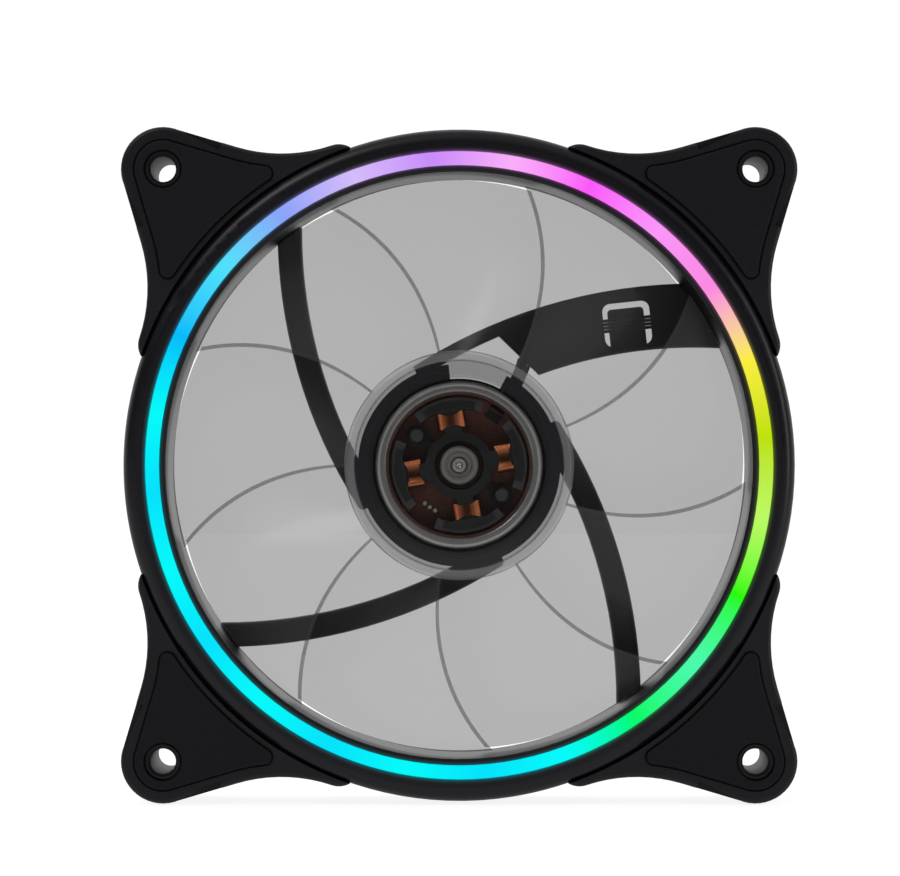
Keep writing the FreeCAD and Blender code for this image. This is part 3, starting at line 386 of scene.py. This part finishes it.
def moulding(name, color, roughness, grain_size=2500.0, depth=0.00001, cloudiness=0.12, speckle=0.15,
             specular=0.5, painted_glow=0.0, polished_bore=False):
    """Moulded plastic or rubber, with a fine grain."""
    material, paper, shader = principled(name)
    grain = use_group(paper, GRAIN, Color=(*color, 1), Roughness=roughness, Grain_Size=grain_size,
                      Cloudiness=cloudiness, Speckle=speckle)
    paper.link(grain.outputs["Color"], shader.inputs["Base Color"])
    rough, height = grain.outputs["Roughness"], grain.outputs["Height"]
    if polished_bore:
        bore = paper.ring_mask(paper.place(), DUCT_R - 0.2 * MM, DUCT_R + 0.3 * MM, 0.1 * MM)
        textured = paper.math("SUBTRACT", 1.0, bore)
        rough = paper.math("ADD", paper.math("MULTIPLY", rough, textured),
                           paper.math("MULTIPLY", bore, BORE_ROUGHNESS))
        height = paper.math("MULTIPLY", height, textured)
    paper.link(rough, shader.inputs["Roughness"])
    bump(paper, height, shader, depth)
    shader.inputs["Specular IOR Level"].default_value = specular
    # painted light: the ring's glow as emission on this surface near the ring
    if painted_glow:
        light = use_group(paper, LIGHT)
        paper.link(light.outputs["Painted Glow"], shader.inputs["Emission Color"])
        shader.inputs["Emission Strength"].default_value = painted_glow
    return material


def turned_metal(name, color, roughness, rings_per_metre=6000.0, contrast=0.12, depth=0.000004):
    """Bare metal with a lathe's fine rings."""
    material, paper, shader = principled(name)
    rings = use_group(paper, RINGS, Color=(*color, 1), Roughness=roughness, Rings_per_Metre=rings_per_metre,
                      Contrast=contrast)
    paper.link(rings.outputs["Color"], shader.inputs["Base Color"])
    paper.link(rings.outputs["Roughness"], shader.inputs["Roughness"])
    shader.inputs["Metallic"].default_value = 1.0
    bump(paper, rings.outputs["Height"], shader, depth)
    return material


# Painted light on the coils: a dark base colour painted over each arm's middle as shade, a bright one on
# the turns' ends as a highlight
PAINTED_SHADE_EDGE = 0.45 * MM     # from the arm's middle, where the painted shade begins to lift
PAINTED_HIGHLIGHT_EDGE = 1.7 * MM    # and where it has gone, into the painted highlight
PAINTED_SHADE_COLOR = (0.17, 0.055, 0.020, 1)
PAINTED_HIGHLIGHT_COLOR = (1.0, 0.40, 0.18, 1)


def wound_copper(name):
    """Enamelled wire with painted light: painted shade over the saddle in the middle of each coil, painted
    highlights on its shoulders.
    """
    material, paper, shader = principled(name)
    split = paper.place()
    share = math.tau / POLES
    turn = paper.math("ARCTAN2", split.outputs["Z"], split.outputs["X"])
    from_edge = paper.math("SUBTRACT", turn, math.radians(POLE_FIRST) - share / 2)
    from_arm = paper.math("SUBTRACT", paper.math("FLOORED_MODULO", from_edge, share), share / 2)
    sideways = paper.math("MULTIPLY", paper.radius(split), paper.math("SINE", from_arm))
    painted_highlight = paper.spread(paper.math("ABSOLUTE", sideways), PAINTED_SHADE_EDGE, PAINTED_HIGHLIGHT_EDGE, 0.0, 1.0)
    paper.link(paper.mix(painted_highlight, PAINTED_SHADE_COLOR, PAINTED_HIGHLIGHT_COLOR), shader.inputs["Base Color"])
    shader.inputs["Metallic"].default_value = 1.0
    shader.inputs["Roughness"].default_value = 0.24
    return material


def clear_plastic(name):
    """Thin smoke-clear moulding: a clear hub, and blades with a faint haze."""
    material, paper, shader = principled(name)
    radius = paper.radius(paper.place())
    hub = paper.spread(radius, HUB_R - 0.2 * MM, HUB_R + 0.2 * MM, 1.0, 0.0)
    foot = paper.spread(radius, YOKE_R + 0.2 * MM, YOKE_R + 0.7 * MM, 0.0, 1.0)
    wall = paper.spread(radius, HUB_R - 1.9 * MM, HUB_R - 1.6 * MM, 0.0, 1.0)
    haze = use_group(paper, GRAIN, Color=(0.085, 0.084, 0.082, 1), Roughness=0.2, Grain_Size=300.0,
                     Cloudiness=0.08, Speckle=0.03)
    hub_tint = paper.mix(foot, (0.10, 0.10, 0.105, 1), (0.036, 0.035, 0.039, 1))
    hub_tint = paper.mix(wall, hub_tint, (0.29, 0.29, 0.30, 1))
    paper.link(paper.mix(hub, haze.outputs["Color"], hub_tint), shader.inputs["Base Color"])
    paper.link(paper.math("SUBTRACT", haze.outputs["Roughness"], paper.math("MULTIPLY", hub, 0.12)),
               shader.inputs["Roughness"])
    facing = paper.node("ShaderNodeLayerWeight")
    facing.inputs["Blend"].default_value = 0.3
    tilt = facing.outputs["Facing"]
    over_blade = paper.spread(tilt, 0.3, 1.0, BLADE_HAZE, BLADE_EDGE_HAZE)
    over_hub = paper.spread(tilt, 0.1, 0.9, HUB_HAZE, HUB_EDGE_HAZE)
    depth = paper.math("MULTIPLY", foot, paper.spread(wall, 0.0, 1.0, FOOT_HAZE, WALL_HAZE))
    over_wall = paper.math("MAXIMUM", over_hub, depth)
    clear = paper.math("MULTIPLY", over_wall, hub)
    hazy = paper.math("MULTIPLY", over_blade, paper.math("SUBTRACT", 1.0, hub))
    paper.link(paper.math("ADD", clear, hazy), shader.inputs["Alpha"])
    return material


def plated_steel(name):
    """Zinc-plated pressing: part mirror, part soft grey, and a painted highlight where it is bent."""
    material, paper, shader = principled(name)
    rings = use_group(paper, RINGS, Color=(0.34, 0.335, 0.33, 1), Roughness=0.24, Rings_per_Metre=5200.0,
                      Contrast=0.10)
    # painted highlight: a pale ring painted into the base colour at the bent edge
    painted_highlight_ring = paper.ring_mask(paper.place(), YOKE_R - 0.75 * MM, YOKE_R - 0.35 * MM, 0.2 * MM)
    paper.link(paper.mix(painted_highlight_ring, rings.outputs["Color"], (0.80, 0.79, 0.76, 1)), shader.inputs["Base Color"])
    paper.link(rings.outputs["Roughness"], shader.inputs["Roughness"])
    shader.inputs["Metallic"].default_value = 0.55
    bump(paper, rings.outputs["Height"], shader, 0.000002)
    return material


def lit_diffuser(name):
    """Milky plastic with the ring's light in it."""
    material, paper, shader = principled(name)
    light = use_group(paper, LIGHT)
    shader.inputs["Base Color"].default_value = (0.002, 0.002, 0.002, 1)
    shader.inputs["Roughness"].default_value = 0.5
    shader.inputs["Specular IOR Level"].default_value = 0.04
    paper.link(light.outputs["Color"], shader.inputs["Emission Color"])
    shader.inputs["Emission Strength"].default_value = 1.0
    return material


def wear_materials():
    """Every material, by the record's slot."""
    return {
        "frame_plastic": moulding("black_frame", (0.0048, 0.0048, 0.0078), 0.42, depth=0.000012,
                                  specular=0.4, painted_glow=0.10, polished_bore=True),
        "bezel_plastic": moulding("black_bezel", (0.0040, 0.0042, 0.0075), 0.32, grain_size=1800.0,
                                  depth=0.000004, specular=0.4, painted_glow=0.12),
        "pad_rubber": moulding("pad_rubber", (0.0030, 0.0028, 0.0055), 0.62, grain_size=1400.0,
                               depth=0.00003, speckle=0.35, specular=0.3),
        "diffuser": lit_diffuser("lit_diffuser"),
        "led_body": lit_diffuser("lit_package"),
        "dark_board": moulding("black_solder_mask", (0.012, 0.014, 0.013), 0.3),
        "brown_board": moulding("brown_solder_mask", (0.50, 0.125, 0.045), 0.35, depth=0.000006),
        "ceramic_chip": moulding("ceramic_chip", (0.30, 0.2, 0.11), 0.5),
        "chip_plastic": moulding("chip_plastic", (0.02, 0.02, 0.022), 0.5),
        "lamination_steel": moulding("lamination_steel", (0.04, 0.036, 0.036), 0.45, specular=0.8),
        "insulator_plastic": moulding("black_insulator", (0.004, 0.0045, 0.0055), 0.4, depth=0.000005),
        "tinned_pin": turned_metal("tinned_pin", (0.6, 0.6, 0.58), 0.3),
        "post_plastic": moulding("grey_post", (0.046, 0.050, 0.048), 0.5),
        "brass_tube": turned_metal("dark_brass_tube", (0.035, 0.028, 0.018), 0.5),
        "bearing_bronze": turned_metal("sintered_bronze", (0.25, 0.15, 0.08), 0.5, contrast=0.05),
        "seal_rubber": moulding("seal_rubber", (0.008, 0.008, 0.008), 0.6),
        "thrust_plastic": moulding("nylon", (0.6, 0.58, 0.52), 0.4),
        "label_film": moulding("label_film", (0.22, 0.22, 0.23), 0.4, grain_size=900.0,
                               depth=0.000003),
        "lead_jacket": moulding("lead_jacket", (0.010, 0.010, 0.011), 0.4),
        "clear_plastic": clear_plastic("clear_impeller"),
        "yoke_steel": plated_steel("plated_yoke_painted_highlight"),
        # painted reflection: the magnet's brown tint stands in for the brown board and copper mirrored in
        # it
        "magnet": moulding("bonded_magnet_painted_reflection", (0.11, 0.045, 0.028), 0.55, speckle=0.3),
        "shaft_steel": turned_metal("ground_steel", (0.42, 0.39, 0.37), 0.3),
        "insert_steel": turned_metal("turned_insert", (0.24, 0.225, 0.22), 0.4, rings_per_metre=1500.0,
                                     contrast=0.25),
        "copper_wire": wound_copper("enamelled_copper_painted_shade_and_highlight"),
    }


MATERIALS = wear_materials()


def dress_nodes():
    """Give each of the frame's nodes the material of its slot."""
    slots = {part["node"]: part["material_slot"] for part in frame["record"]["subparts"]}
    for name, node in NODES.items():
        material = MATERIALS[slots[name]]
        if not node.material_slots:
            node.data.materials.append(material)
        for slot in node.material_slots:
            slot.material = material


# ---------------------------------------------------------------- geometry nodes helpers


class Loom:
    """A geometry node tree with named inputs, and short ways to add nodes."""

    def __init__(self, name, inputs):
        self.tree = bpy.data.node_groups.new(name, "GeometryNodeTree")
        self.tree.interface.new_socket("Geometry", in_out="INPUT", socket_type="NodeSocketGeometry")
        self.sockets = {}
        for label, kind in inputs:
            self.sockets[label] = self.tree.interface.new_socket(label, in_out="INPUT", socket_type=kind)
        self.tree.interface.new_socket("Geometry", in_out="OUTPUT", socket_type="NodeSocketGeometry")
        self.given = self.tree.nodes.new("NodeGroupInput")
        self.result = self.tree.nodes.new("NodeGroupOutput")

    def put(self, value, socket):
        if hasattr(value, "is_output"):
            self.tree.links.new(value, socket)
        else:
            socket.default_value = value

    def node(self, kind, inputs=None, **settings):
        """Add a node; inputs go by name or index."""
        made = self.tree.nodes.new(kind)
        for key, value in settings.items():
            setattr(made, key, value)
        for key, value in (inputs or {}).items():
            self.put(value, made.inputs[key])
        return made

    def math(self, operation, *values):
        return self.node("ShaderNodeMath", dict(enumerate(values)), operation=operation).outputs[0]

    def vector(self, x=0.0, y=0.0, z=0.0):
        return self.node("ShaderNodeCombineXYZ", {0: x, 1: y, 2: z}).outputs[0]

    def split(self, vector):
        return self.node("ShaderNodeSeparateXYZ", {0: vector}).outputs

    def place(self, geometry, position):
        return self.node("GeometryNodeSetPosition", {"Geometry": geometry, "Position": position}).outputs[0]

    def upright(self, geometry):
        """Stand up what was made lying on its back, as the frame is stood up."""
        at = self.position()
        return self.place(geometry, self.vector(at[0], self.math("MULTIPLY", at[2], -1.0), at[1]))

    def position(self):
        return self.split(self.node("GeometryNodeInputPosition").outputs[0])

    def rounded(self, curve, count, radius, limited=False):
        """A curve with its corners rounded in a few straight steps."""
        made = self.node("GeometryNodeFilletCurve", {"Curve": curve, "Radius": radius}, mode="POLY")
        made.inputs["Count"].default_value = count
        made.inputs["Limit Radius"].default_value = limited
        return made.outputs[0]

    def finish(self, geometry):
        """Give the geometry its material and send it out."""
        real = self.node("GeometryNodeRealizeInstances", {"Geometry": geometry}).outputs[0]
        dyed = self.node("GeometryNodeSetMaterial",
                         {"Geometry": real, "Material": self.given.outputs["Material"]})
        self.tree.links.new(dyed.outputs[0], self.result.inputs[0])


def weave(name, loom, values, source=None):
    """Run a tree on a source mesh or curve, and return the result as a plain mesh object."""
    data = source or bpy.data.meshes.new(name + "_seed")
    seed = bpy.data.objects.new(name + "_seed", data)
    bpy.context.scene.collection.objects.link(seed)
    modifier = seed.modifiers.new("loom", "NODES")
    modifier.node_group = loom.tree
    for label, value in values.items():
        modifier[loom.sockets[label].identifier] = value
    graph = bpy.context.evaluated_depsgraph_get()
    mesh = bpy.data.meshes.new_from_object(seed.evaluated_get(graph), depsgraph=graph)
    mesh.name = name
    bpy.data.objects.remove(seed)
    piece = bpy.data.objects.new(name, mesh)
    bpy.context.scene.collection.objects.link(piece)
    return piece


def smooth(piece):
    """Shade a piece's faces smoothly."""
    for polygon in piece.data.polygons:
        polygon.use_smooth = True


GN_FLOAT, GN_INT, GN_MATERIAL = "NodeSocketFloat", "NodeSocketInt", "NodeSocketMaterial"

# ---------------------------------------------------------------- coil windings

COIL_MIDDLE_R = 8.15 * MM
COIL_LENGTH = 3.0 * MM      # along the arm
COIL_ACROSS = 5.3 * MM
COIL_CORNER_R = 0.9 * MM
WIRE_R = 0.125 * MM
TURNS = 12
LAYER_STEP = 3.4            # the inner layer is this many wire radii smaller, side to side
WAIST = 0.66                # the turns crowd together over the arm's middle
DIP = 0.91                  # and lie lower there


def winding_layer(loom, across, height, turns, length):
    """One layer of turns round an arm that points along local Z."""
    given = loom.given.outputs
    outline = loom.node("GeometryNodeCurvePrimitiveQuadrilateral", {"Width": across, "Height": height})
    outline.mode = "RECTANGLE"
    rounded = loom.rounded(outline.outputs[0], 5, given["Corner"])
    fine = loom.node("GeometryNodeSubdivideCurve", {"Curve": rounded, "Cuts": 5}).outputs[0]
    profile = loom.node("GeometryNodeCurvePrimitiveCircle",
                        {"Resolution": 6, "Radius": given["Wire Radius"]})
    wire = loom.node("GeometryNodeCurveToMesh",
                     {"Curve": fine, "Profile Curve": profile.outputs[0]}).outputs[0]
    pitch = loom.math("DIVIDE", length, turns)
    start = loom.math("MULTIPLY", loom.math("MULTIPLY", loom.math("SUBTRACT", turns, 1.0), pitch), -0.5)
    line = loom.node("GeometryNodeMeshLine", {"Count": turns, "Start Location": loom.vector(z=start),
                                              "Offset": loom.vector(z=pitch)})
    return loom.node("GeometryNodeInstanceOnPoints",
                     {"Points": line.outputs[0], "Instance": wire}).outputs[0]


def wound_coils():
    """Two layers of turns on each arm, waisted at the arm's middle, repeated round the poles."""
    loom = Loom("wound_coils", [("Across", GN_FLOAT), ("Height", GN_FLOAT), ("Length", GN_FLOAT),
                                ("Corner", GN_FLOAT), ("Wire Radius", GN_FLOAT), ("Turns", GN_INT),
                                ("Waist", GN_FLOAT), ("Dip", GN_FLOAT), ("Middle Radius", GN_FLOAT),
                                ("Poles", GN_INT), ("First Angle", GN_FLOAT),
                                ("Centre Depth", GN_FLOAT), ("Material", GN_MATERIAL)])
    given = loom.given.outputs
    step = loom.math("MULTIPLY", given["Wire Radius"], LAYER_STEP)
    outer = winding_layer(loom, given["Across"], given["Height"], given["Turns"], given["Length"])
    inner = winding_layer(loom, loom.math("SUBTRACT", given["Across"], step),
                          loom.math("SUBTRACT", given["Height"], step),
                          loom.math("SUBTRACT", given["Turns"], 1.0), given["Length"])
    join = loom.node("GeometryNodeJoinGeometry")
    for layer in (inner, outer):
        loom.tree.links.new(layer, join.inputs[0])
    coil = loom.node("GeometryNodeRealizeInstances", {"Geometry": join.outputs[0]}).outputs[0]
    at = loom.position()
    half = loom.math("MULTIPLY", given["Across"], 0.5)
    outward = loom.math("DIVIDE", loom.math("ABSOLUTE", at[0]), half)
    spread = loom.node("ShaderNodeMapRange", {"Value": outward, "From Min": 0.25, "From Max": 0.85,
                                              "To Min": given["Waist"], "To Max": 1.0},
                       interpolation_type="SMOOTHSTEP").outputs[0]
    dip = loom.node("ShaderNodeMapRange", {"Value": outward, "From Min": 0.2, "From Max": 0.8,
                                           "To Min": given["Dip"], "To Max": 1.0},
                    interpolation_type="SMOOTHSTEP").outputs[0]
    # local Z points along the arm: turn it to point right, and the height to stand along the shaft
    coil = loom.place(coil, loom.vector(loom.math("MULTIPLY", at[2], spread), at[0],
                                        loom.math("MULTIPLY", at[1], dip)))
    coil = loom.node("GeometryNodeTransform",
                     {"Geometry": coil, "Translation": loom.vector(given["Middle Radius"])}).outputs[0]
    centre = loom.node("GeometryNodeMeshLine",
                       {"Count": given["Poles"], "Offset": loom.vector()}).outputs[0]
    index = loom.node("GeometryNodeInputIndex").outputs[0]
    share = loom.math("DIVIDE", math.tau, given["Poles"])
    turn = loom.math("ADD", loom.math("MULTIPLY", index, share), given["First Angle"])
    round_shaft = loom.node("GeometryNodeInstanceOnPoints", {"Points": centre, "Instance": coil,
                                                             "Rotation": loom.vector(z=turn)}).outputs[0]
    real = loom.node("GeometryNodeRealizeInstances", {"Geometry": round_shaft}).outputs[0]
    stood = loom.upright(real)
    placed = loom.node("GeometryNodeTransform",
                       {"Geometry": stood, "Translation": loom.vector(y=given["Centre Depth"])}).outputs[0]
    loom.finish(placed)
    low, high = depth_range("coil_1")
    piece = weave("coil_windings", loom, {
        "Across": COIL_ACROSS - 2 * WIRE_R, "Height": high - low - 2 * WIRE_R, "Length": COIL_LENGTH,
        "Corner": COIL_CORNER_R, "Wire Radius": WIRE_R, "Turns": TURNS, "Waist": WAIST, "Dip": DIP,
        "Middle Radius": COIL_MIDDLE_R, "Poles": POLES, "First Angle": math.radians(POLE_FIRST),
        "Centre Depth": (low + high) / 2, "Material": MATERIALS["copper_wire"]})
    smooth(piece)
    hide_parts(*["coil_%d" % (number + 1) for number in range(POLES)])
    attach(piece, "housing")


# ---------------------------------------------------------------- lead between the boards

# Where the lead turns, as (millimetres from the shaft, degrees), behind the struts
LEAD_TURNS = [(12.0, 55.5), (18.4, 55.5), (26.1, 58.8), (36.4, 43.9), (43.5, 36.9), (50.5, 30.5),
              (55.475, 30.5)]
LEAD_DEPTH = 9.4 * MM
LEAD_RISE = -4.4 * MM       # where it ends, at the light board
WIRES = 4
WIRE_JACKET_R = 0.31 * MM
WIRE_PITCH = 0.64 * MM
WIRE_BEND_R = 0.9 * MM


def lead_path():
    """The lead's middle line: over the bridge, along the wide strut, then up to the light board."""
    points = [Vector((radius * MM * math.cos(math.radians(angle)), LEAD_DEPTH,
                      radius * MM * math.sin(math.radians(angle))))
              for radius, angle in LEAD_TURNS]
    points.append(Vector((points[-1].x, LEAD_RISE, points[-1].z)))
    curve = bpy.data.curves.new("lead_path", "CURVE")
    curve.dimensions = "3D"
    spline = curve.splines.new("POLY")
    spline.points.add(len(points) - 1)
    for slot, point in zip(spline.points, points):
        slot.co = (*point, 1)
    return curve


def lead_wires():
    """Thin jacketed wires side by side, bonded into one flat lead."""
    loom = Loom("lead_wires", [("Wires", GN_INT), ("Pitch", GN_FLOAT), ("Jacket Radius", GN_FLOAT),
                               ("Bend Radius", GN_FLOAT), ("Material", GN_MATERIAL)])
    given = loom.given.outputs
    bent = loom.rounded(given["Geometry"], 6, given["Bend Radius"], limited=True)
    copies = loom.node("GeometryNodeDuplicateElements", {"Geometry": bent, "Amount": given["Wires"]},
                       domain="SPLINE")
    tangent = loom.node("GeometryNodeInputTangent").outputs[0]
    across = loom.node("ShaderNodeVectorMath", {0: tangent, 1: loom.vector(y=1.0)},
                       operation="CROSS_PRODUCT").outputs[0]
    sideways = loom.node("ShaderNodeVectorMath", {0: across}, operation="NORMALIZE").outputs[0]
    rank = loom.math("SUBTRACT", copies.outputs["Duplicate Index"],
                     loom.math("MULTIPLY", loom.math("SUBTRACT", given["Wires"], 1.0), 0.5))
    away = loom.math("MULTIPLY", rank, given["Pitch"])
    shift = loom.node("ShaderNodeVectorMath", {0: sideways, "Scale": away}, operation="SCALE").outputs[0]
    laid = loom.node("GeometryNodeSetPosition", {"Geometry": copies.outputs[0], "Offset": shift}).outputs[0]
    profile = loom.node("GeometryNodeCurvePrimitiveCircle",
                        {"Resolution": 10, "Radius": given["Jacket Radius"]})
    wires = loom.node("GeometryNodeCurveToMesh", {"Curve": laid, "Profile Curve": profile.outputs[0],
                                                  "Fill Caps": True}).outputs[0]
    loom.finish(wires)
    piece = weave("lead_wires", loom, {"Wires": WIRES, "Pitch": WIRE_PITCH, "Jacket Radius": WIRE_JACKET_R,
                                       "Bend Radius": WIRE_BEND_R, "Material": MATERIALS["lead_jacket"]},
                  source=lead_path())
    smooth(piece)
    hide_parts("lead_ribbon")
    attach(piece, "housing")


# ---------------------------------------------------------------- the scene

place_camera()
light_world()
lay_floor()
soft_box("key", (-0.6, -0.7, 0.9), (0, 0, 0), (0.5, 0.5), 2.5)
soft_box("edge", (0.9, -0.5, 0.15), (0, 0, 0), (0.25, 0.7), 1.6)
dress_nodes()
wound_coils()
lead_wires()
bpy.context.scene.view_settings.view_transform = "Standard"
